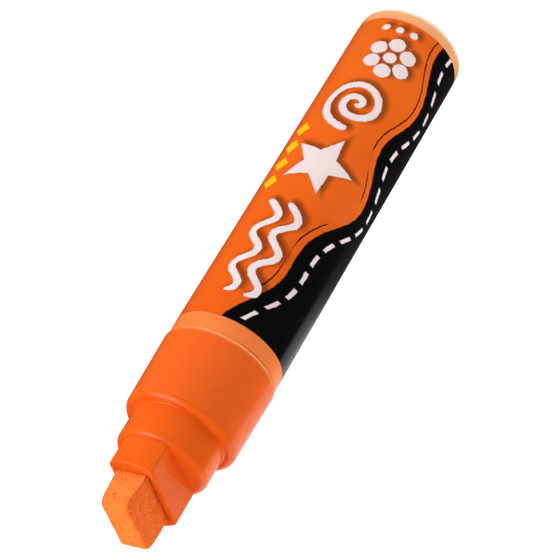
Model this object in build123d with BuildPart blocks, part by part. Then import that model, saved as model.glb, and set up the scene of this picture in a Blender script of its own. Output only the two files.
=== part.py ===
# Liquid chalk marker with a wide felt nib. Pressing the nib opens a spring valve that feeds it with ink.
# It stands on its closed rear end: origin at the middle of the rear face, +Z along the axis to the nib.
# The nib's wide side runs along X and its thickness along Y. All lengths are in millimetres.
import os
from math import cos, pi, radians, sin, sqrt, tan

from build123d import *

os.makedirs("parts", exist_ok=True)

# Barrel: a moulded bottle with a closed rear end and a neck that the nib section snaps over
barrel_diameter = 28.0
barrel_length = 108.5  # rear face to the shoulder that the nib section butts against
barrel_wall = 1.4
barrel_floor = 1.6
rear_edge_radius = 2.0
floor_corner_radius = 1.5
foot_width = 2.4  # flat ring that the marker stands on
push_up_depth = 0.5  # shallow hollow inside the foot ring
shoulder_edge_radius = 0.5
shoulder_wall = 1.6
neck_step = 1.85  # barrel's side to the neck's side
neck_length = 12.8
neck_wall = 1.4
bead_height = 0.3  # snap bead round the neck
bead_width = 1.6
bead_place_share = 0.55

# Label: printed film in a shallow panel of the barrel
rear_rim_length = 4.4
front_rim_length = 4.5
label_thickness = 0.15
label_proud = 0.05  # film's face beyond the barrel's side
label_glue = 0.05
label_end_gap = 0.05

# Nib section: tapered collar over the neck, ring for the cap, flat-sided snout for the nib
collar_proud = 0.35  # collar's rear end beyond the barrel's side
collar_draft = 0.45  # how much narrower the collar's side is at its front
collar_length = 20.3
collar_rear_edge_radius = 0.7
collar_front_edge_radius = 1.5
ring_length = 8.9
ring_front_radius = 1.4
ring_root_radius = 0.3
ring_wall = 1.7
snout_step = 0.9  # ring's side to the snout's round ends
snout_length = 8.4
snout_end_wall = 2.85
snout_flat_wall = 1.45
snout_edge_radius = 0.6
rim_edge_radius = 0.35
slot_mouth_bevel = 0.35
rim_slope = 4.0  # degrees; the rim climbs towards -X
step_edge_share = 0.6  # most of the step from collar to ring that its edge's rounding may take
step_root_share = 0.3
neck_clearance = 0.05

# Nib: felt block that slides in the snout
nib_width = 15.0
nib_thickness = 8.3
nib_reach = 9.0  # beyond the rim, on the axis
nib_guide_length = 13.0  # slot that the nib slides in
nib_clearance = 0.15
nib_edge_radius = 0.7
nib_heel_radius = 2.2  # worn corner of the end on the +X side
nib_toe_radius = 0.8  # the other corner of the end
nib_slope = 6.5  # degrees; the nib's end climbs towards -X
press_room = 7.5  # free space behind the nib

# Valve: cup clamped by the neck, poppet stem with a soft seal, spring and retainer
neck_seal_thickness = 1.0
flange_thickness = 1.6
cup_length = 15.8  # behind the flange
cup_wall = 1.2
lip_length = 0.8
lip_height = 0.35
window_width = 3.2
window_length = 5.0
rod_diameter = 4.4
flute_count = 4
flute_width = 1.3
flute_depth = 1.1
orifice_clearance = 0.4
poppet_diameter = 8.4
poppet_thickness = 1.6
poppet_clearance = 1.2
valve_seal_thickness = 1.1
valve_seal_fit = 0.05
seat_gap = 0.05
pin_diameter = 3.0
pin_overhang = 2.0  # behind the retainer
pin_clearance = 0.1
retainer_thickness = 1.6
retainer_clearance = 0.05
flow_hole_diameter = 1.2
flow_hole_count = 6
spring_diameter = 6.6  # over the wire
spring_wire = 0.6
spring_turns = 6
spring_end_gap = 0.05

# Mixing ball: loose in the ink chamber
ball_diameter = 6.0
ball_floor_gap = 0.05
ball_place_share = 0.5

overrun = 2.0  # how far cutting shapes reach past what they cut

# Barrel's radii and heights
barrel_radius = barrel_diameter / 2
label_radius = barrel_radius + label_proud
label_bore_radius = label_radius - label_thickness
panel_radius = label_bore_radius - label_glue
chamber_radius = panel_radius - barrel_wall
neck_radius = barrel_radius - neck_step
neck_bore_radius = neck_radius - neck_wall
push_up_radius = barrel_radius - rear_edge_radius - foot_width
floor_z = push_up_depth + barrel_floor
label_start = rear_rim_length
label_end = barrel_length - front_rim_length
neck_end = barrel_length + neck_length
bead_z = barrel_length + neck_length * bead_place_share
cone_top = barrel_length - shoulder_wall
cone_bottom = cone_top - (chamber_radius - neck_bore_radius)

# Nib section's radii and heights
collar_rear_radius = barrel_radius + collar_proud
collar_front_radius = collar_rear_radius - collar_draft
slot_width = nib_width + 2 * nib_clearance
slot_thickness = nib_thickness + 2 * nib_clearance
snout_radius = slot_width / 2 + snout_end_wall
snout_flats = slot_thickness + 2 * snout_flat_wall
ring_radius = snout_radius + snout_step
ring_step = collar_front_radius - ring_radius
step_edge_radius = min(collar_front_edge_radius, ring_step * step_edge_share)
step_root_radius = min(ring_root_radius, ring_step * step_root_share)
neck_socket_radius = neck_radius + neck_clearance
nib_chamber_radius = ring_radius - ring_wall
collar_front = barrel_length + collar_length
ring_front = collar_front + ring_length
rim_z = ring_front + snout_length
slot_start = rim_z - nib_guide_length

# Valve's radii and heights
seat_z = neck_end + neck_seal_thickness
flange_front = seat_z + flange_thickness
nib_rear = flange_front + press_room
nib_end = rim_z + nib_reach
rod_radius = rod_diameter / 2
orifice_radius = rod_radius + orifice_clearance
poppet_radius = poppet_diameter / 2
cup_bore_radius = poppet_radius + poppet_clearance
cup_radius = cup_bore_radius + cup_wall
cup_rear = seat_z - cup_length
lip_radius = cup_bore_radius - lip_height
retainer_rear = cup_rear + lip_length
retainer_front = retainer_rear + retainer_thickness
retainer_radius = cup_bore_radius - retainer_clearance
pin_radius = pin_diameter / 2
valve_seal_front = seat_z - seat_gap
poppet_front = valve_seal_front - valve_seal_thickness
poppet_rear = poppet_front - poppet_thickness
pin_rear = retainer_rear - pin_overhang
spring_radius = (spring_diameter - spring_wire) / 2
spring_start = retainer_front + spring_end_gap + spring_wire / 2
spring_stop = poppet_rear - spring_end_gap - spring_wire / 2


# Sketch corner nearest to a point of the outline
def corner(sketch, x, y):
    return sketch.vertices().sort_by_distance((x, y))[0]


# Barrel, turned from one outline with its inside
with BuildPart() as barrel:
    with BuildSketch(Plane.XZ) as barrel_outline:
        with BuildLine():
            Polyline(
                (0, push_up_depth),
                (push_up_radius, push_up_depth),
                (push_up_radius + push_up_depth, 0),
                (barrel_radius, 0),
                (barrel_radius, label_start),
                (panel_radius, label_start),
                (panel_radius, label_end),
                (barrel_radius, label_end),
                (barrel_radius, barrel_length),
                (neck_radius, barrel_length),
                (neck_radius, bead_z - bead_width / 2),
                (neck_radius + bead_height, bead_z),
                (neck_radius, bead_z + bead_width / 2),
                (neck_radius, neck_end),
                (neck_bore_radius, neck_end),
                (neck_bore_radius, cone_top),
                (chamber_radius, cone_bottom),
                (chamber_radius, floor_z),
                (0, floor_z),
                close=True,
            )
        make_face()
        fillet(corner(barrel_outline, barrel_radius, 0), rear_edge_radius)
        fillet(corner(barrel_outline, barrel_radius, barrel_length), shoulder_edge_radius)
        fillet(corner(barrel_outline, chamber_radius, floor_z), floor_corner_radius)
    revolve(axis=Axis.Z)

# Label film in the barrel's panel
with BuildPart() as label_sleeve:
    with BuildSketch(Plane.XY.offset(label_start + label_end_gap)):
        Circle(label_radius)
        Circle(label_bore_radius, mode=Mode.SUBTRACT)
    extrude(amount=label_end - label_start - 2 * label_end_gap)

# Nib section: turned collar and ring, then the snout with its slanted rim, then the bores and the slot
rim_direction = (sin(radians(rim_slope)), 0, cos(radians(rim_slope)))
rim_plane = Plane((0, 0, rim_z), x_dir=(0, 1, 0), z_dir=rim_direction)
with BuildPart() as nib_section:
    with BuildSketch(Plane.XZ) as section_outline:
        with BuildLine():
            Polyline(
                (0, barrel_length),
                (collar_rear_radius, barrel_length),
                (collar_front_radius, collar_front),
                (ring_radius, collar_front),
                (ring_radius, ring_front),
                (0, ring_front),
                close=True,
            )
        make_face()
        fillet(corner(section_outline, collar_rear_radius, barrel_length), collar_rear_edge_radius)
        fillet(corner(section_outline, collar_front_radius, collar_front), step_edge_radius)
        fillet(corner(section_outline, ring_radius, collar_front), step_root_radius)
        fillet(corner(section_outline, ring_radius, ring_front), ring_front_radius)
    revolve(axis=Axis.Z)
    with BuildSketch(Plane.XY.offset(ring_front)) as snout_outline:
        Circle(snout_radius)
        Rectangle(2 * snout_radius, snout_flats, mode=Mode.INTERSECT)
        fillet(snout_outline.vertices(), snout_edge_radius)
    extrude(amount=snout_length + overrun)
    split(bisect_by=rim_plane, keep=Keep.BOTTOM)
    fillet(nib_section.faces().sort_by(Axis.Z)[-1].edges(), rim_edge_radius)
    with BuildSketch(Plane.XZ):
        with BuildLine():
            Polyline(
                (0, barrel_length - overrun),
                (neck_socket_radius, barrel_length - overrun),
                (neck_socket_radius, bead_z - bead_width / 2),
                (neck_socket_radius + bead_height, bead_z),
                (neck_socket_radius, bead_z + bead_width / 2),
                (neck_socket_radius, flange_front),
                (nib_chamber_radius, flange_front),
                (nib_chamber_radius, slot_start),
                (0, slot_start),
                close=True,
            )
        make_face()
    revolve(axis=Axis.Z, mode=Mode.SUBTRACT)
    with BuildSketch(Plane.XY.offset(slot_start - overrun)):
        RectangleRounded(slot_width, slot_thickness, nib_edge_radius + nib_clearance)
    extrude(amount=nib_guide_length + 2 * overrun, mode=Mode.SUBTRACT)
    slot_mouth = nib_section.faces().filter_by(rim_plane).sort_by(Axis.Z)[-1].inner_wires()[0]
    chamfer(slot_mouth.edges(), slot_mouth_bevel)

# Nib: broad outline with a slanted end and worn corners, pressed to its thickness
end_climb = nib_width / 2 * tan(radians(nib_slope))
with BuildPart() as nib:
    with BuildSketch(Plane.XZ) as nib_outline:
        with BuildLine():
            Polyline(
                (-nib_width / 2, nib_rear),
                (nib_width / 2, nib_rear),
                (nib_width / 2, nib_end - end_climb),
                (-nib_width / 2, nib_end + end_climb),
                close=True,
            )
        make_face()
        fillet(corner(nib_outline, nib_width / 2, nib_end - end_climb), nib_heel_radius)
        fillet(corner(nib_outline, -nib_width / 2, nib_end + end_climb), nib_toe_radius)
    extrude(amount=nib_thickness / 2, both=True)
    broad_edges = nib.faces().filter_by(Axis.Y).edges()
    fillet(broad_edges.filter_by(lambda edge: edge.center().Z > nib_rear), nib_edge_radius)

# Valve cup: flange and seat wall in front, tube with ink windows and a snap lip behind
with BuildPart() as valve_cup:
    with BuildSketch(Plane.XZ):
        with BuildLine():
            Polyline(
                (orifice_radius, flange_front),
                (neck_radius, flange_front),
                (neck_radius, seat_z),
                (cup_radius, seat_z),
                (cup_radius, cup_rear),
                (lip_radius, cup_rear),
                (lip_radius, retainer_rear),
                (cup_bore_radius, retainer_rear),
                (cup_bore_radius, seat_z),
                (orifice_radius, seat_z),
                close=True,
            )
        make_face()
    revolve(axis=Axis.Z)
    window_z = (retainer_front + poppet_rear) / 2
    for side in (Plane.XZ, Plane.YZ):
        with BuildSketch(side):
            with Locations((0, window_z)):
                Rectangle(window_width, window_length)
        extrude(amount=cup_radius + overrun, both=True, mode=Mode.SUBTRACT)

# Valve stem: guide pin, poppet and the fluted rod that the nib pushes
with BuildPart() as valve_stem:
    with BuildSketch(Plane.XY.offset(poppet_front)):
        Circle(rod_radius)
        with PolarLocations(rod_radius, flute_count):
            Rectangle(2 * flute_depth, flute_width, mode=Mode.SUBTRACT)
    extrude(amount=nib_rear - poppet_front)
    with BuildSketch(Plane.XY.offset(poppet_rear)):
        Circle(poppet_radius)
    extrude(amount=poppet_thickness)
    with BuildSketch(Plane.XY.offset(pin_rear)):
        Circle(pin_radius)
    extrude(amount=poppet_rear - pin_rear)

# Soft washer on the poppet, against the seat
with BuildPart() as valve_seal:
    with BuildSketch(Plane.XY.offset(poppet_front)):
        Circle(poppet_radius)
        Circle(rod_radius + valve_seal_fit, mode=Mode.SUBTRACT)
    extrude(amount=valve_seal_thickness)

# Retainer disc: guides the pin, carries the spring and lets ink through
with BuildPart() as spring_retainer:
    with BuildSketch(Plane.XY.offset(retainer_rear)):
        Circle(retainer_radius)
        Circle(pin_radius + pin_clearance, mode=Mode.SUBTRACT)
        with PolarLocations((spring_diameter / 2 + retainer_radius) / 2, flow_hole_count):
            Circle(flow_hole_diameter / 2, mode=Mode.SUBTRACT)
    extrude(amount=retainer_thickness)

# Gasket between the neck's end and the cup's flange
with BuildPart() as neck_seal:
    with BuildSketch(Plane.XY.offset(neck_end)):
        Circle(neck_radius)
        Circle(neck_bore_radius, mode=Mode.SUBTRACT)
    extrude(amount=neck_seal_thickness)

# Spring: one wire along quarter turns, each a pair of tangent arcs that keeps to the helix at its ends
quarters_per_turn = 4
quarter_turn = 2 * pi / quarters_per_turn
half_step = quarter_turn / 2
spring_climb = (spring_stop - spring_start) / spring_turns / (2 * pi)  # per radian
quarter_climb = spring_climb * quarter_turn
lead = spring_climb * quarter_climb
joint_slope = lead / (spring_radius * sin(half_step))
joint_square = spring_radius**2 + (quarter_climb / 2) ** 2 + lead / tan(half_step)
joint_radius = sqrt((joint_slope / 2) ** 2 + joint_square) - joint_slope / 2


# Point at a turning angle, at a given distance from the axis
def coil_point(angle, radius):
    return Vector(radius * cos(angle), radius * sin(angle), spring_start + spring_climb * angle)


# Direction of the wire at a turning angle
def coil_direction(angle):
    return Vector(-spring_radius * sin(angle), spring_radius * cos(angle), spring_climb).normalized()


with BuildPart() as valve_spring:
    with BuildLine() as coil:
        for step in range(quarters_per_turn * spring_turns):
            angle = step * quarter_turn
            joint = coil_point(angle + half_step, joint_radius)
            first_arc = TangentArc(coil_point(angle, spring_radius), joint, tangent=coil_direction(angle))
            TangentArc(joint, coil_point(angle + quarter_turn, spring_radius), tangent=first_arc % 1)
    with BuildSketch(Plane(coil_point(0, spring_radius), z_dir=coil_direction(0))):
        Circle(spring_wire / 2)
    sweep(path=coil.wires()[0])

# Least gap between the spring's turns, measured on points along its wire
samples_per_turn = 48
sample_count = samples_per_turn * spring_turns
wire_points = [coil.wires()[0] @ (index / sample_count) for index in range(sample_count)]
turn_gaps = []
for index, point in enumerate(wire_points):
    for other in wire_points[index + samples_per_turn // 2:]:
        turn_gaps.append((point - other).length - spring_wire)
print(f"least gap between the spring's turns: {min(turn_gaps):.2f} mm")

# Ball that stirs the ink when the marker is shaken
with BuildPart() as mixing_ball:
    with Locations((chamber_radius * ball_place_share, 0, floor_z + ball_floor_gap + ball_diameter / 2)):
        Sphere(ball_diameter / 2)

pieces = {
    "barrel": barrel,
    "label_sleeve": label_sleeve,
    "nib_section": nib_section,
    "nib": nib,
    "valve_cup": valve_cup,
    "valve_stem": valve_stem,
    "valve_seal": valve_seal,
    "valve_spring": valve_spring,
    "spring_retainer": spring_retainer,
    "neck_seal": neck_seal,
    "mixing_ball": mixing_ball,
}
for name, piece in pieces.items():
    piece.part.label = name
    export_step(piece.part, f"parts/{name}.step")
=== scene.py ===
import math

import bmesh
import bpy
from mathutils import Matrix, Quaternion, Vector, noise


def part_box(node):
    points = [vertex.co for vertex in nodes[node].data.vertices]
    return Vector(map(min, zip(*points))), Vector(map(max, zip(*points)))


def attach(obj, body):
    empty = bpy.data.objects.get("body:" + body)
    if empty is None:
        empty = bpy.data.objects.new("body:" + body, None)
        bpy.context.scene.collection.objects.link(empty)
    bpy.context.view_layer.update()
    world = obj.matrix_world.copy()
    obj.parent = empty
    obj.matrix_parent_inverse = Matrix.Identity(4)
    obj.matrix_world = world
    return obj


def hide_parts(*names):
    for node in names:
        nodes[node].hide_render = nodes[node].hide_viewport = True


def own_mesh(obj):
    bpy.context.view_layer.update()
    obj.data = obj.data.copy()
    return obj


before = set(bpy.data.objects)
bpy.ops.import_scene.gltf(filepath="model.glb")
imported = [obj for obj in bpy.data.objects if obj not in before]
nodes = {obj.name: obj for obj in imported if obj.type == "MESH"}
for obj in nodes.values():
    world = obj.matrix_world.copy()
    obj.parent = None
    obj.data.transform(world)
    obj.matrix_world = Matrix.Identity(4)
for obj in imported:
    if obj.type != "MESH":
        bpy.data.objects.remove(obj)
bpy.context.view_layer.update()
mm = 0.001
closeness = 0.001 * mm  # points nearer than this count as one
sharpAngle = math.radians(40)  # between two faces, past which their edge is a sharp one
print("frame loaded:", len(nodes), "nodes")


def linear(hexColour):  # sRGB hex to the linear values that shaders take
    channels = [int(hexColour[i:i + 2], 16) / 255 for i in (1, 3, 5)]
    return [c / 12.92 if c <= 0.04045 else ((c + 0.055) / 1.055) ** 2.4 for c in channels] + [1.0]


def setInputs(tree, node, inputs):  # a node given as a value stands for its first live output
    live = [socket for socket in node.inputs if not socket.is_unavailable]
    for key, value in inputs.items() if isinstance(inputs, dict) else enumerate(inputs):
        socket = live[key] if isinstance(key, int) else next(s for s in live if s.name == key)
        if isinstance(value, bpy.types.Node):
            value = next(s for s in value.outputs if not s.is_unavailable)
        if isinstance(value, bpy.types.NodeSocket):
            tree.links.new(value, socket)
        else:
            socket.default_value = value


def addNode(tree, kind, inputs=(), **settings):  # inputs by name in a dictionary, or in order in a list
    node = tree.nodes.new("ShaderNode" + kind)
    for name, value in settings.items():
        setattr(node, name, value)
    setInputs(tree, node, inputs)
    return node


def newMaterial(name):
    material = bpy.data.materials.new(name)
    material.use_nodes = True
    tree = material.node_tree
    place = addNode(tree, "TexCoord").outputs["Object"]
    return material, tree, tree.nodes["Principled BSDF"], place


def dress(material, *names):  # CAD nodes keep their meshes and get a better finish
    for name in names:
        mesh = nodes[name].data
        mesh.materials.clear()
        mesh.materials.append(material)


# moulded plastics: satin gloss, faint flow streaks along the mould's draw, a fine grain and a painted
# highlight on the rear end
sectionLook = {
    "name": "injectionMouldedPolypropylene",
    "colour": "#FA691A", "flowColour": "#F56316",
    "flowSize": 8.0, "flowStretch": 0.35,  # mm, and how much the streaks are drawn out along Z
    "grainSize": 0.5, "grainDepth": 0.004,
    "roughness": (0.18, 0.21), "ior": 1.49,
    "polished": 0.22,  # share of the roughness that is left on the ring and the snout
    "polishFrom": 127.0, "polishReach": 1.0,  # mm along Z
    "glow": 0.2, "glowDepth": 1.2, "glowTint": (1.0, 0.35, 0.12),  # red light goes deepest
    "rear": "#FFAE5E",  # painted highlight: the colour turns lighter over the thin rear end, standing in for the light caught there
    "rearAt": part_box("nib_section")[0].z / mm, "rearReach": 1.3,
}
# the barrel's rear rim gets the same painted highlight, over a longer reach
barrelLook = dict(
    sectionLook, name="blowMouldedPolypropylene", colour="#FF8A46", flowColour="#FC823A",
    flowSize=12.0, rear="#FFC890", rearAt=0.0, rearReach=9.0)
valveLook = dict(
    sectionLook, name="naturalAcetal", colour="#EFEDE6", flowColour="#E4E1D8",
    flowSize=4.0, ior=1.48, rear="#EFEDE6")


def mouldedPlastic(look):
    material, tree, shader, place = newMaterial(look["name"])
    drawn = addNode(tree, "Mapping", {"Vector": place, "Scale": (1.0, 1.0, look["flowStretch"])})
    flow = addNode(tree, "TexNoise", {"Vector": drawn, "Scale": 1 / (look["flowSize"] * mm), "Detail": 4.0})
    grain = addNode(tree, "TexNoise", {
        "Vector": place, "Scale": 1 / (look["grainSize"] * mm), "Detail": 2.0})
    colour = addNode(tree, "Mix", {
        "Factor": flow, "A": linear(look["colour"]), "B": linear(look["flowColour"])}, data_type="RGBA")
    height = addNode(tree, "SeparateXYZ", [place]).outputs["Z"]
    # painted highlight: the colour turns lighter towards the piece's rear end
    rearEnd = look["rearAt"] * mm
    rear = addNode(tree, "MapRange", {
        "Value": height, "From Min": rearEnd + look["rearReach"] * mm, "From Max": rearEnd})
    colour = addNode(tree, "Mix", {
        "Factor": rear, "A": colour, "B": linear(look["rear"])}, data_type="RGBA")
    rough = addNode(tree, "MapRange", {
        "Value": flow, "To Min": look["roughness"][0], "To Max": look["roughness"][1]})
    polish = addNode(tree, "MapRange", {
        "Value": height, "From Min": look["polishFrom"] * mm,
        "From Max": (look["polishFrom"] + look["polishReach"]) * mm,
        "To Min": 1.0, "To Max": look["polished"]})
    rough = addNode(tree, "Math", [rough, polish], operation="MULTIPLY")
    bump = addNode(tree, "Bump", {"Height": grain, "Distance": look["grainDepth"] * mm})
    setInputs(tree, shader, {
        "Base Color": colour, "Roughness": rough, "Normal": bump, "IOR": look["ior"],
        "Subsurface Weight": look["glow"], "Subsurface Scale": look["glowDepth"] * mm,
        "Subsurface Radius": look["glowTint"]})
    return material


dress(mouldedPlastic(sectionLook), "nib_section")
dress(mouldedPlastic(barrelLook), "barrel")
dress(mouldedPlastic(valveLook), "valve_cup", "valve_stem", "spring_retainer")
print("plastics set")

# nitrile rubber: matt, near black, with a dusty bloom
rubberLook = {
    "colour": "#1C1C1E", "bloom": "#3A3A3C", "bloomSize": 1.5,
    "grainSize": 0.3, "grainDepth": 0.01, "roughness": 0.75, "ior": 1.52,
}


def rubber(look):
    material, tree, shader, place = newMaterial("nitrileRubber")
    bloom = addNode(tree, "TexNoise", {
        "Vector": place, "Scale": 1 / (look["bloomSize"] * mm), "Detail": 5.0})
    grain = addNode(tree, "TexNoise", {"Vector": place, "Scale": 1 / (look["grainSize"] * mm)})
    colour = addNode(tree, "Mix", {
        "Factor": bloom, "A": linear(look["colour"]), "B": linear(look["bloom"])}, data_type="RGBA")
    bump = addNode(tree, "Bump", {"Height": grain, "Distance": look["grainDepth"] * mm})
    setInputs(tree, shader, {
        "Base Color": colour, "Roughness": look["roughness"], "Normal": bump, "IOR": look["ior"]})
    return material


# steels: drawn wire is grey with duller patches, the ball is ground, polished and nearly even
wireLook = {
    "name": "drawnSpringSteel", "colour": "#B9BCC0", "stain": "#8F9296",
    "stainSize": 2.0, "roughness": (0.22, 0.38),
}
ballLook = {
    "name": "polishedStainlessSteel", "colour": "#D2D4D6", "stain": "#C2C4C8",
    "stainSize": 3.0, "roughness": (0.06, 0.14),
}


def steel(look):
    material, tree, shader, place = newMaterial(look["name"])
    stain = addNode(tree, "TexNoise", {
        "Vector": place, "Scale": 1 / (look["stainSize"] * mm), "Detail": 6.0})
    colour = addNode(tree, "Mix", {
        "Factor": stain, "A": linear(look["colour"]), "B": linear(look["stain"])}, data_type="RGBA")
    rough = addNode(tree, "MapRange", {
        "Value": stain, "To Min": look["roughness"][0], "To Max": look["roughness"][1]})
    setInputs(tree, shader, {"Base Color": colour, "Metallic": 1.0, "Roughness": rough})
    return material


dress(rubber(rubberLook), "neck_seal", "valve_seal")
dress(steel(wireLook), "valve_spring")
dress(steel(ballLook), "mixing_ball")

# spring: a merged copy of the wire, in place of the stiff solid
coilMesh = nodes["valve_spring"].data.copy()
if coilMesh.has_custom_normals:  # they belong to the loose triangles
    coilMesh.attributes.remove(coilMesh.attributes["custom_normal"])
bm = bmesh.new()
bm.from_mesh(coilMesh)
bmesh.ops.remove_doubles(bm, verts=bm.verts, dist=closeness)
bm.to_mesh(coilMesh)
bm.free()
coilMesh.set_sharp_from_angle(angle=sharpAngle)
coil = bpy.data.objects.new("coil_spring", coilMesh)
bpy.context.scene.collection.objects.link(coil)
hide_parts("valve_spring")
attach(coil, "marker_body")
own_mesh(coil)

# printed film: glossy sleeve, orange with a black sweep, white chalk marks that cast a soft printed shadow
label = {
    "facing": -37.5,  # degrees, the azimuth of the design's middle line
    "orange": "#F0620E", "rearOrange": "#F46E18",
    "mottle": "#E85A0A", "mottleSize": 14.0, "mottleShare": 0.5, "mottleFrom": 0.35, "mottleTo": 0.75,
    "black": "#060606", "chalk": "#F1E0DE", "yellow": "#FFC90E",
    "edgeRest": -9.0, "edgeClimb": 13.0, "climbFrom": 58.0, "climbTo": 106.0,  # black edge, mm
    "edgeSwing": 2.2, "swingLength": 33.0,
    "backEdge": -37.0,  # where the black ends at the back, mm round from the middle line
    "chalkRough": 0.8, "chalkRoughSize": 1.5,  # mm
    "shadowShift": (1.0, 0.9, 0.0), "shadowSoft": 1.5, "shadowDark": 0.62,
    "echoGap": 1.9, "echoWidth": 0.4, "breakFrom": 0.48, "breakTo": 0.52,  # noise level where it breaks off
    "dashGap": 4.2, "dashWidth": 1.1, "dashLength": 3.4, "dashStep": 5.6,
    "seamWidth": 1.2, "seamHeight": 0.05,
    "printBlur": 0.1,  # mm, half the width over which one ink gives way to the next
    "filmRough": 0.14, "chalkDull": 0.3, "ior": 1.5,
}
waves = {"middle": 6.0, "gap": 5.2, "from": 69.0, "to": 96.0, "swing": 1.9, "length": 10.8, "width": 1.8}
star = {"place": (4.6, 54.5, 0.0), "tip": 9.0, "waist": 4.1, "points": 5, "turn": 0.35}
spiral = {"place": (4.4, 34.0, 0.0), "turns": 2, "pitch": 4.1, "width": 1.9}
flower = {"place": (3.2, 17.0, 0.0), "petals": 6, "petalOut": 4.6, "petalRadius": 2.1, "eye": 1.7}
dots = {"places": [(8.4, 7.6, 0.0), (4.6, 7.6, 0.0), (0.8, 7.6, 0.0)], "radius": 1.05}
diamonds = {"places": [(15.0, z, 0.0) for z in (44.0, 50.0, 56.0, 62.0)], "radius": 2.3}


def nearest(tree, found):  # the smallest of several distances
    least = found[0]
    for distance in found[1:]:
        least = addNode(tree, "Math", [least, distance], operation="MINIMUM")
    return least


def chalkMarks(tree, spot):  # signed distance in mm from a spot (across, along) to the nearest mark
    found = []
    parts = addNode(tree, "SeparateXYZ", [spot])
    across, along = parts.outputs["X"], parts.outputs["Y"]

    # waves: two thick strokes side by side, with round ends
    phase = addNode(tree, "Math", [along, 2 * math.pi / waves["length"]], operation="MULTIPLY")
    crest = addNode(tree, "Math", [phase], operation="SINE")
    crest = addNode(tree, "Math", [crest, waves["swing"], waves["middle"]], operation="MULTIPLY_ADD")
    slope = addNode(tree, "Math", [phase], operation="COSINE")
    steepest = waves["swing"] * 2 * math.pi / waves["length"]
    slope = addNode(tree, "Math", [slope, steepest], operation="MULTIPLY")
    slope = addNode(tree, "Math", [slope], operation="ARCTANGENT")
    lean = addNode(tree, "Math", [slope], operation="COSINE")
    side = addNode(tree, "Math", [across, crest], operation="SUBTRACT")
    side = addNode(tree, "Math", [side], operation="ABSOLUTE")
    side = addNode(tree, "Math", [side, waves["gap"] / 2], operation="SUBTRACT")
    side = addNode(tree, "Math", [side, lean], operation="MULTIPLY")
    past = addNode(tree, "Math", [along, (waves["from"] + waves["to"]) / 2], operation="SUBTRACT")
    past = addNode(tree, "Math", [past], operation="ABSOLUTE")
    past = addNode(tree, "Math", [past, (waves["to"] - waves["from"]) / 2], operation="SUBTRACT")
    past = addNode(tree, "Math", [past, 0.0], operation="MAXIMUM")
    off = addNode(tree, "CombineXYZ", [side, past])
    off = addNode(tree, "VectorMath", [off], operation="LENGTH")
    found.append(addNode(tree, "Math", [off, waves["width"] / 2], operation="SUBTRACT"))

    # star: one straight edge, folded round the points
    off = addNode(tree, "VectorMath", [spot, star["place"]], operation="SUBTRACT")
    radius = addNode(tree, "VectorMath", [off], operation="LENGTH")
    off = addNode(tree, "SeparateXYZ", [off])
    turn = addNode(tree, "Math", [off.outputs["X"], off.outputs["Y"]], operation="ARCTAN2")
    turn = addNode(tree, "Math", [turn, star["turn"]], operation="ADD")
    fold = math.pi / star["points"]
    turn = addNode(tree, "Math", [turn, fold], operation="PINGPONG")
    edge = Vector((star["waist"] * math.sin(fold), star["tip"] - star["waist"] * math.cos(fold)))
    edge.normalize()
    turn = addNode(tree, "Math", [turn, math.atan2(edge.y, edge.x)], operation="SUBTRACT")
    turn = addNode(tree, "Math", [turn], operation="COSINE")
    found.append(addNode(tree, "Math", [radius, turn, -edge.x * star["tip"]], operation="MULTIPLY_ADD"))

    # spiral: turns a pitch apart, with a round end on the last one
    off = addNode(tree, "VectorMath", [spot, spiral["place"]], operation="SUBTRACT")
    radius = addNode(tree, "VectorMath", [off], operation="LENGTH")
    off = addNode(tree, "SeparateXYZ", [off])
    turn = addNode(tree, "Math", [off.outputs["X"], off.outputs["Y"]], operation="ARCTAN2")
    reach = spiral["turns"] * spiral["pitch"]
    turn = addNode(tree, "Math", [turn, spiral["pitch"] / (2 * math.pi), radius], operation="MULTIPLY_ADD")
    side = addNode(tree, "Math", [turn, spiral["pitch"] / 2, -spiral["pitch"] / 2], operation="WRAP")
    line = addNode(tree, "Math", [radius, side], operation="SUBTRACT")
    past = addNode(tree, "Math", [line, reach], operation="GREATER_THAN")
    side = addNode(tree, "Math", [past, spiral["pitch"], side], operation="MULTIPLY_ADD")
    side = addNode(tree, "Math", [side], operation="ABSOLUTE")
    found.append(addNode(tree, "Math", [side, spiral["width"] / 2], operation="SUBTRACT"))
    end = Vector(spiral["place"]) + Vector((0, reach, 0))
    off = addNode(tree, "VectorMath", [spot, end], operation="DISTANCE")
    found.append(addNode(tree, "Math", [off, spiral["width"] / 2], operation="SUBTRACT"))

    # flower: one round petal, folded round the eye
    off = addNode(tree, "VectorMath", [spot, flower["place"]], operation="SUBTRACT")
    radius = addNode(tree, "VectorMath", [off], operation="LENGTH")
    found.append(addNode(tree, "Math", [radius, flower["eye"]], operation="SUBTRACT"))
    off = addNode(tree, "SeparateXYZ", [off])
    turn = addNode(tree, "Math", [off.outputs["X"], off.outputs["Y"]], operation="ARCTAN2")
    turn = addNode(tree, "Math", [turn, math.pi / flower["petals"]], operation="PINGPONG")
    out = addNode(tree, "Math", [turn], operation="COSINE")
    out = addNode(tree, "Math", [out, radius, -flower["petalOut"]], operation="MULTIPLY_ADD")
    side = addNode(tree, "Math", [turn], operation="SINE")
    side = addNode(tree, "Math", [side, radius], operation="MULTIPLY")
    off = addNode(tree, "CombineXYZ", [out, side])
    off = addNode(tree, "VectorMath", [off], operation="LENGTH")
    found.append(addNode(tree, "Math", [off, flower["petalRadius"]], operation="SUBTRACT"))

    for place in dots["places"]:
        off = addNode(tree, "VectorMath", [spot, place], operation="DISTANCE")
        found.append(addNode(tree, "Math", [off, dots["radius"]], operation="SUBTRACT"))

    return nearest(tree, found)


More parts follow.
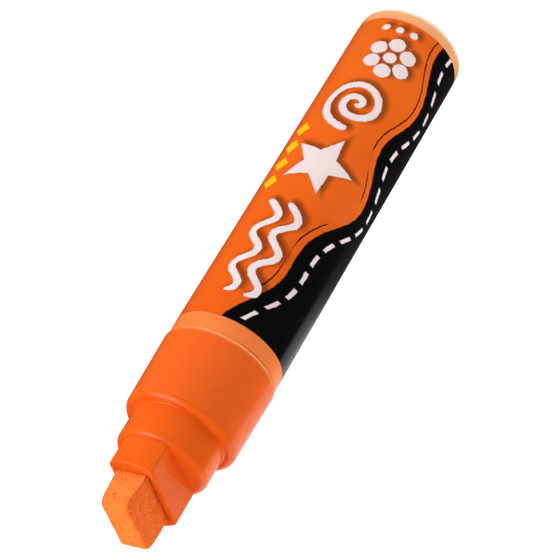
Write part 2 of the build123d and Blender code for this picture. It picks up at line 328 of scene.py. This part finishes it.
def printedFilm():
    material, tree, shader, place = newMaterial("printedGlossFilm")
    low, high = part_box("label_sleeve")
    radius = high.x / mm
    turned = addNode(tree, "Mapping", {"Vector": place, "Rotation": (0, 0, -math.radians(label["facing"]))})
    parts = addNode(tree, "SeparateXYZ", [turned])
    around = addNode(tree, "Math", [parts.outputs["Y"], parts.outputs["X"]], operation="ARCTAN2")
    across = addNode(tree, "Math", [around, radius], operation="MULTIPLY")
    along = addNode(tree, "Math", [parts.outputs["Z"], 1 / mm], operation="MULTIPLY")
    spot = addNode(tree, "CombineXYZ", [across, along])

    # orange ground, a little lighter to the rear, with a faint mottle
    mottle = addNode(tree, "TexNoise", {
        "Vector": place, "Scale": 1 / (label["mottleSize"] * mm), "Detail": 3.0})
    rear = addNode(tree, "MapRange", {"Value": along, "From Min": high.z / mm, "From Max": low.z / mm})
    ground = addNode(tree, "Mix", {
        "Factor": rear, "A": linear(label["orange"]), "B": linear(label["rearOrange"])}, data_type="RGBA")
    faint = addNode(tree, "MapRange", {
        "Value": mottle, "From Min": label["mottleFrom"], "From Max": label["mottleTo"],
        "To Max": label["mottleShare"]})
    ground = addNode(tree, "Mix", {
        "Factor": faint, "A": ground, "B": linear(label["mottle"])}, data_type="RGBA")

    # black sweep with a chalky edge and a broken echo line beside it
    blur = label["printBlur"]
    chalky = addNode(tree, "TexNoise", {
        "Vector": spot, "Scale": 1 / label["chalkRoughSize"], "Detail": 4.0, "Roughness": 0.65})
    rough = addNode(tree, "Math", [chalky, 0.5], operation="SUBTRACT")
    rough = addNode(tree, "Math", [rough, label["chalkRough"]], operation="MULTIPLY")
    climb = addNode(tree, "MapRange", {
        "Value": along, "From Min": label["climbFrom"], "From Max": label["climbTo"],
        "To Min": label["edgeRest"], "To Max": label["edgeRest"] + label["edgeClimb"]},
        interpolation_type="SMOOTHSTEP")
    swing = addNode(tree, "Math", [along, 2 * math.pi / label["swingLength"]], operation="MULTIPLY")
    swing = addNode(tree, "Math", [swing], operation="SINE")
    edge = addNode(tree, "Math", [swing, label["edgeSwing"], climb], operation="MULTIPLY_ADD")
    fromEdge = addNode(tree, "Math", [across, edge], operation="SUBTRACT")
    fromEdge = addNode(tree, "Math", [fromEdge, rough], operation="ADD")
    fromBack = addNode(tree, "Math", [label["backEdge"], across], operation="SUBTRACT")
    fromBack = addNode(tree, "Math", [swing, label["edgeSwing"], fromBack], operation="MULTIPLY_ADD")
    fromBack = addNode(tree, "Math", [fromBack, rough], operation="ADD")
    field = addNode(tree, "Math", [fromEdge, fromBack], operation="MAXIMUM")
    echo = addNode(tree, "Math", [fromEdge, label["echoGap"]], operation="SUBTRACT")
    echo = addNode(tree, "Math", [echo], operation="ABSOLUTE")
    echo = addNode(tree, "Math", [echo, -label["echoWidth"] / 2], operation="ADD")
    breaks = addNode(tree, "TexNoise", {"Vector": spot, "Scale": 1 / label["swingLength"], "Detail": 1.0})
    breaks = addNode(tree, "MapRange", {
        "Value": breaks, "From Min": label["breakFrom"], "From Max": label["breakTo"],
        "To Max": label["echoWidth"]})
    echo = addNode(tree, "Math", [echo, breaks], operation="ADD")
    dark = addNode(tree, "Math", [field, echo], operation="MINIMUM")
    black = addNode(tree, "MapRange", {"Value": dark, "From Min": blur, "From Max": -blur})

    # white marks, and the same marks shifted and softened as their shadow
    marks = addNode(tree, "Math", [chalkMarks(tree, spot), rough], operation="ADD")
    dash = addNode(tree, "Math", [along, label["dashStep"] / 2], operation="PINGPONG")
    dash = addNode(tree, "Math", [dash, label["dashLength"] / 2], operation="SUBTRACT")
    row = addNode(tree, "Math", [fromEdge, label["dashGap"]], operation="ADD")
    row = addNode(tree, "Math", [row], operation="ABSOLUTE")
    row = addNode(tree, "Math", [row, label["dashWidth"] / 2], operation="SUBTRACT")
    dash = addNode(tree, "Math", [dash, row], operation="MAXIMUM")
    white = addNode(tree, "Math", [marks, dash], operation="MINIMUM")
    white = addNode(tree, "MapRange", {"Value": white, "From Min": blur, "From Max": -blur})
    shifted = addNode(tree, "VectorMath", [spot, label["shadowShift"]], operation="ADD")
    shadow = addNode(tree, "MapRange", {
        "Value": chalkMarks(tree, shifted), "From Min": label["shadowSoft"],
        "From Max": -label["shadowSoft"] / 2, "To Max": label["shadowDark"]},
        interpolation_type="SMOOTHSTEP")

    # yellow diamonds: the sum of the two distances from each middle
    found = []
    for middle in diamonds["places"]:
        off = addNode(tree, "VectorMath", [spot, middle], operation="SUBTRACT")
        off = addNode(tree, "VectorMath", [off], operation="ABSOLUTE")
        found.append(addNode(tree, "VectorMath", [off, (1.0, 1.0, 0.0)], operation="DOT_PRODUCT"))
    gold = addNode(tree, "Math", [nearest(tree, found), rough], operation="ADD")
    gold = addNode(tree, "MapRange", {
        "Value": gold, "From Min": diamonds["radius"] + blur, "From Max": diamonds["radius"] - blur})

    # the inks lie one over another, the shadow lowest and the chalk on top
    colour = ground
    for mask, tint in ((shadow, "black"), (black, "black"), (gold, "yellow"), (white, "chalk")):
        colour = addNode(tree, "Mix", {
            "Factor": mask, "A": colour, "B": linear(label[tint])}, data_type="RGBA")

    # gloss: the chalk ink is duller than the film, and the lap at the back stands up as a fine step
    gloss = addNode(tree, "MapRange", {
        "Value": white, "To Min": label["filmRough"], "To Max": label["chalkDull"]})
    lap = addNode(tree, "Math", [across], operation="ABSOLUTE")
    lapEdge = math.pi * radius - label["seamWidth"]
    lap = addNode(tree, "MapRange", {"Value": lap, "From Min": lapEdge - blur, "From Max": lapEdge})
    bump = addNode(tree, "Bump", {"Height": lap, "Distance": label["seamHeight"] * mm})
    setInputs(tree, shader, {"Base Color": colour, "Roughness": gloss, "Normal": bump, "IOR": label["ior"]})
    return material


dress(printedFilm(), "label_sleeve")
print("label printed")

# nib: pressed polyester felt, soaked in ink, with open pores and a furred edge, and painted shade in the
# pores, at the rim's nip and on the broad faces
felt = {
    "colour": "#FF7828", "fibre": "#FF9E4C",  # the cut faces
    "skinAndShadeColour": "#FF5E14", "skinAndShadeFibre": "#FF863A",  # the two pressed faces, deeper and redder: partly the ink-filled skin, partly painted shade for the broad side away from the light
    "skinFrom": 0.2, "skinTo": 0.6,  # how squarely a face looks along Y, where skin begins and is full
    # painted shade: the colour that darkens the pores and the nip at the slot's rim
    "poreShadeColour": "#E04A10",
    "slope": 3.0,  # degrees that the end climbs towards -X
    "short": 0.45,  # mm that wear has taken off the end
    "heel": 2.2, "worn": 1.5, "toe": 0.6, "edge": 0.25,  # mm, roundings, largest first
    "arcSteps": 6,  # faces in each rounding
    "acrossLeast": 1.0,  # mm, an edge that spans more than this along Y runs across the nib
    "voxel": 0.19,
    "poreSpacing": 0.7, "poreWidth": 0.45, "poreDepth": 0.16,
    "furSize": 0.45, "furHeight": 0.12, "lumpSize": 2.2, "lumpHeight": 0.10,
    "fibreSize": 0.5, "fibreDepth": 0.35, "fibreShare": 0.75, "fibreFrom": 0.35, "fibreTo": 0.65,
    "glow": 0.3, "glowDepth": 0.8, "glowTint": (3.0, 0.5, 0.15),
    "fuzz": 0.9, "fuzzColour": "#FF6E20", "roughness": 0.9, "ior": 1.45,
    "rimSlope": 4.0, "rimRadius": 10.5,  # degrees and mm, the slanted rim of the slot
    "pinch": 0.05, "pinchReach": 0.45,  # mm, how deep the rim nips the felt, and how far along
    "guide": 2.9,  # mm above the rim, below which nothing stands proud, because the slot takes it in
}


def runsAcross(edge):  # through the nib's thickness
    return abs(edge.verts[0].co.y - edge.verts[1].co.y) > felt["acrossLeast"] * mm


def cutFelt():
    low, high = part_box("nib")
    tilt = math.radians(felt["slope"])
    toeLoss = felt["toe"] * (math.tan(tilt) + 1 / math.cos(tilt) - 1)  # length that the toe's rounding takes
    top = Vector((low.x, 0, high.z + (toeLoss - felt["short"]) * mm))  # the end's upper corner, still sharp
    high.z += felt["heel"] * mm  # spare length that the slanted cut takes off
    middle, size = (low + high) / 2, high - low
    bm = bmesh.new()
    bmesh.ops.create_cube(bm, size=1.0)
    bmesh.ops.scale(bm, vec=size, verts=bm.verts)
    bmesh.ops.translate(bm, vec=middle, verts=bm.verts)
    bmesh.ops.bisect_plane(
        bm, geom=bm.verts[:] + bm.edges[:] + bm.faces[:], clear_outer=True,
        plane_co=top, plane_no=(math.sin(tilt), 0, math.cos(tilt)))
    bmesh.ops.holes_fill(bm, edges=[edge for edge in bm.edges if edge.is_boundary])
    for key, reach, left, right in (
            ("heel", middle.z, middle.x, high.x), ("worn", middle.z, low.x, high.x),
            ("toe", middle.z, low.x, low.x), ("edge", low.z, low.x, high.x)):
        sharp = [edge for edge in bm.edges if edge.calc_face_angle(0) > sharpAngle]
        sharp = [edge for edge in sharp if min(v.co.z for v in edge.verts) > reach - felt["voxel"] * mm]
        sharp = [
            edge for edge in sharp
            if all(left - closeness < v.co.x < right + closeness for v in edge.verts)]
        if key in ("heel", "worn"):  # the heel's edge runs across, the worn ones along
            sharp = [edge for edge in sharp if runsAcross(edge) == (key == "heel")]
        bmesh.ops.bevel(
            bm, geom=sharp, offset=felt[key] * mm, affect="EDGES", segments=felt["arcSteps"],
            profile=0.5, material=-1)
    bmesh.ops.recalc_face_normals(bm, faces=bm.faces)
    block = bpy.data.objects.new("feltBlock", bpy.data.meshes.new("feltBlock"))
    bm.to_mesh(block.data)
    bm.free()
    bpy.context.scene.collection.objects.link(block)
    remesh = block.modifiers.new("felting", "REMESH")
    remesh.mode, remesh.voxel_size = "VOXEL", felt["voxel"] * mm
    fine = bpy.data.meshes.new_from_object(block.evaluated_get(bpy.context.evaluated_depsgraph_get()))
    bpy.data.objects.remove(block)
    return fine


def furFelt(mesh):  # pores sink in, fibres stand up, and each point keeps the painted shade of its pore and of the rim's nip, and its skin share
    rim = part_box("nib_section")[1].z / mm
    rimClimb = math.tan(math.radians(felt["rimSlope"]))
    mesh.attributes.new("poreAndNipShade", "FLOAT", "POINT")
    skinAndShade = mesh.attributes.new("skinAndShade", "FLOAT", "POINT")
    poreAndNipShade = mesh.attributes["poreAndNipShade"]  # fetched now, because a new attribute can move the others
    normals = [point.normal.copy() for point in mesh.vertices]
    for point, normal in zip(mesh.vertices, normals):
        spot = point.co / mm
        near = noise.voronoi(spot / felt["poreSpacing"])[0][0] * felt["poreSpacing"]
        patch = noise.noise(spot / felt["lumpSize"])
        pore = (1 + patch) - 2 * near / felt["poreWidth"]
        pore = max(0.0, min(1.0, pore))
        fray = noise.noise(spot / felt["furSize"])
        fur = fray * felt["furHeight"] + patch * felt["lumpHeight"]
        if spot.z < rim + felt["guide"]:
            fur = min(fur, 0.0)
        mouth = rim - (spot.x + felt["rimRadius"]) * rimClimb  # height of the slot's rim here
        nip = max(0.0, 1 - abs(spot.z - mouth) / (felt["pinchReach"] * (1 + fray)))
        # painted shade: the deeper of pore and nip darkens the colour here
        poreAndNipShade.data[point.index].value = max(pore, nip)
        facing = (abs(normal.y) - felt["skinFrom"]) / (felt["skinTo"] - felt["skinFrom"])
        skinAndShade.data[point.index].value = max(0.0, min(1.0, facing))
        point.co += normal * (fur - max(pore * felt["poreDepth"], nip * felt["pinch"])) * mm


def feltMaterial():
    material, tree, shader, place = newMaterial("polyesterFelt")
    fibre = addNode(tree, "TexNoise", {
        "Vector": place, "Scale": 1 / (felt["fibreSize"] * mm), "Detail": 3.0})
    wet = addNode(tree, "TexNoise", {
        "Vector": place, "Scale": 1 / (felt["lumpSize"] * mm), "Detail": 2.0})
    pore = addNode(tree, "Attribute", attribute_name="poreAndNipShade").outputs["Fac"]
    skinAndShade = addNode(tree, "Attribute", attribute_name="skinAndShade").outputs["Fac"]
    strand = addNode(tree, "Mix", [felt["fibreShare"], wet, fibre])
    strand = addNode(tree, "MapRange", {
        "Value": strand, "From Min": felt["fibreFrom"], "From Max": felt["fibreTo"]})
    cut = addNode(tree, "Mix", {
        "Factor": strand, "A": linear(felt["colour"]), "B": linear(felt["fibre"])}, data_type="RGBA")
    pressedAndShaded = addNode(tree, "Mix", {
        "Factor": strand, "A": linear(felt["skinAndShadeColour"]), "B": linear(felt["skinAndShadeFibre"])}, data_type="RGBA")
    # faces along Y take the deeper colour, partly pressed skin and partly painted shade
    colour = addNode(tree, "Mix", {"Factor": skinAndShade, "A": cut, "B": pressedAndShaded}, data_type="RGBA")
    # painted shade in the pores and along the rim's nip
    colour = addNode(tree, "Mix", {
        "Factor": pore, "A": colour, "B": linear(felt["poreShadeColour"])}, data_type="RGBA")
    bump = addNode(tree, "Bump", {"Height": fibre, "Distance": felt["fibreDepth"] * mm})
    setInputs(tree, shader, {
        "Base Color": colour, "Roughness": felt["roughness"], "Normal": bump, "IOR": felt["ior"],
        "Sheen Weight": felt["fuzz"], "Sheen Tint": linear(felt["fuzzColour"]),
        "Subsurface Weight": felt["glow"], "Subsurface Scale": felt["glowDepth"] * mm,
        "Subsurface Radius": felt["glowTint"]})
    return material


feltMesh = cutFelt()
furFelt(feltMesh)
feltMesh.materials.append(feltMaterial())
feltNib = bpy.data.objects.new("felt_nib", feltMesh)
bpy.context.scene.collection.objects.link(feltNib)
for face in feltMesh.polygons:
    face.use_smooth = True
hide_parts("nib")
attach(feltNib, "nib_set")
print("felt nib:", len(feltMesh.polygons), "faces")

# camera at the photograph's viewing angle
cameraView = {
    "place": (355.13, -272.50, 356.31), "aim": (-1.063, -1.397, 79.970),  # mm
    "roll": -149.113,  # degrees, the nib points down in the picture
    "lens": 143.047, "sensor": 36.0,
    "clip": (0.01, 20.0),  # metres
}
camera = bpy.data.objects.new("camera", bpy.data.cameras.new("camera"))
bpy.context.scene.collection.objects.link(camera)
camera.location = Vector(cameraView["place"]) * mm
forward = (Vector(cameraView["aim"]) - Vector(cameraView["place"])).normalized()
camera.rotation_mode = "QUATERNION"
roll = Quaternion((0, 0, 1), math.radians(cameraView["roll"]))
camera.rotation_quaternion = forward.to_track_quat("-Z", "Y") @ roll
camera.data.lens, camera.data.sensor_width = cameraView["lens"], cameraView["sensor"]
camera.data.clip_start, camera.data.clip_end = cameraView["clip"]
bpy.context.scene.camera = camera

# studio: white paper floor, five soft lamps round the marker and a small one near its rear end
studio = {
    "ambient": 0.05, "glossDark": 0.04, "cardEdge": 0.01,
    "paper": "#E8E8E8", "paperRough": 0.9, "floorSize": 6.0, "floorLift": 0.6,
    "aim": (0, 0, 0.11),  # metres, what the lamps point at
}
mirrored = [  # what reflections see: cosines of the angle where each thing begins and is full, its lower end
    {"towards": (-1.0, -0.05, 0.0), "from": 0.68, "to": 0.80, "above": -0.52, "level": 0.7},  # card behind
    {"towards": (-0.80, 0.40, -0.45), "from": 0.965, "to": 1.0, "above": -0.56, "level": 0.35},  # small card
    {"towards": (0.0, 0.0, -1.0), "from": 0.68, "to": 0.86, "above": -1.0, "level": 2.6},  # paper below
    {"towards": (0.49, 0.41, 0.77), "from": 0.86, "to": 0.97, "above": -1.0, "level": 2.5},  # soft box above
]
lamps = [  # azimuth and elevation in degrees, distance and size in metres, power in watts
    {"name": "key", "turn": 20, "rise": 25, "distance": 1.0, "size": (0.6, 0.6), "power": 7.1},
    {"name": "left", "turn": 80, "rise": 50, "distance": 1.0, "size": (0.6, 0.6), "power": 5.4},
    {"name": "front", "turn": -60, "rise": 25, "distance": 1.0, "size": (0.6, 0.6), "power": 1.6},
    {"name": "right", "turn": -150, "rise": 0, "distance": 1.0, "size": (0.6, 0.6), "power": 3.0},
    {"name": "back", "turn": -150, "rise": 40, "distance": 1.0, "size": (0.6, 0.6), "power": 6.8},
    {"name": "rear", "turn": -95, "rise": -45, "distance": 0.127, "size": (0.08, 0.08), "power": 0.03},
]
world = bpy.data.worlds.new("studio")
bpy.context.scene.world = world
world.use_nodes = True
tree = world.node_tree
path = addNode(tree, "LightPath")
direction = addNode(tree, "TexCoord").outputs["Generated"]
height = addNode(tree, "SeparateXYZ", [direction]).outputs["Z"]
gloss = studio["glossDark"]
for patch in mirrored:
    side = Vector(patch["towards"]).normalized()
    side = addNode(tree, "VectorMath", [direction, side], operation="DOT_PRODUCT")
    side = addNode(tree, "MapRange", {
        "Value": side, "From Min": patch["from"], "From Max": patch["to"],
        "To Max": patch["level"]}, interpolation_type="SMOOTHSTEP")
    lower = addNode(tree, "MapRange", {
        "Value": height, "From Min": patch["above"] - studio["cardEdge"],
        "From Max": patch["above"] + studio["cardEdge"]})
    side = addNode(tree, "Math", [side, lower], operation="MULTIPLY")
    gloss = addNode(tree, "Math", [gloss, side], operation="MAXIMUM")
level = addNode(tree, "Mix", [path.outputs["Is Glossy Ray"], studio["ambient"], gloss])
seen = addNode(tree, "Math", [
    path.outputs["Is Camera Ray"], path.outputs["Is Transmission Ray"]], operation="MAXIMUM")
level = addNode(tree, "Mix", [seen, level, 1.0])
setInputs(tree, tree.nodes["Background"], {"Color": (1, 1, 1, 1), "Strength": level})

for lamp in lamps:
    data = bpy.data.lights.new(lamp["name"], "AREA")
    data.shape = "RECTANGLE"
    data.size, data.size_y = lamp["size"]
    data.energy = lamp["power"]
    light = bpy.data.objects.new(lamp["name"], data)
    bpy.context.scene.collection.objects.link(light)
    turn, rise = math.radians(lamp["turn"]), math.radians(lamp["rise"])
    towards = Vector((math.cos(rise) * math.cos(turn), math.cos(rise) * math.sin(turn), math.sin(rise)))
    light.location = Vector(studio["aim"]) + towards * lamp["distance"]
    light.rotation_mode = "QUATERNION"
    light.rotation_quaternion = (-towards).to_track_quat("-Z", "Y")
    light.visible_camera = False
    light.visible_glossy = False

bm = bmesh.new()
bmesh.ops.create_grid(bm, x_segments=1, y_segments=1, size=studio["floorSize"] / 2)
floor = bpy.data.objects.new("floor", bpy.data.meshes.new("floor"))
bm.to_mesh(floor.data)
bm.free()
bpy.context.scene.collection.objects.link(floor)
floor.visible_glossy = False
paper, tree, shader = newMaterial("whitePaper")[:3]
path = addNode(tree, "LightPath")
lift = addNode(tree, "Math", [path.outputs["Is Camera Ray"], studio["floorLift"]], operation="MULTIPLY")
setInputs(tree, shader, {
    "Base Color": linear(studio["paper"]), "Roughness": studio["paperRough"],
    "Emission Color": (1, 1, 1, 1), "Emission Strength": lift})
floor.data.materials.append(paper)
bpy.context.scene.view_settings.view_transform = "Standard"
print("studio set")
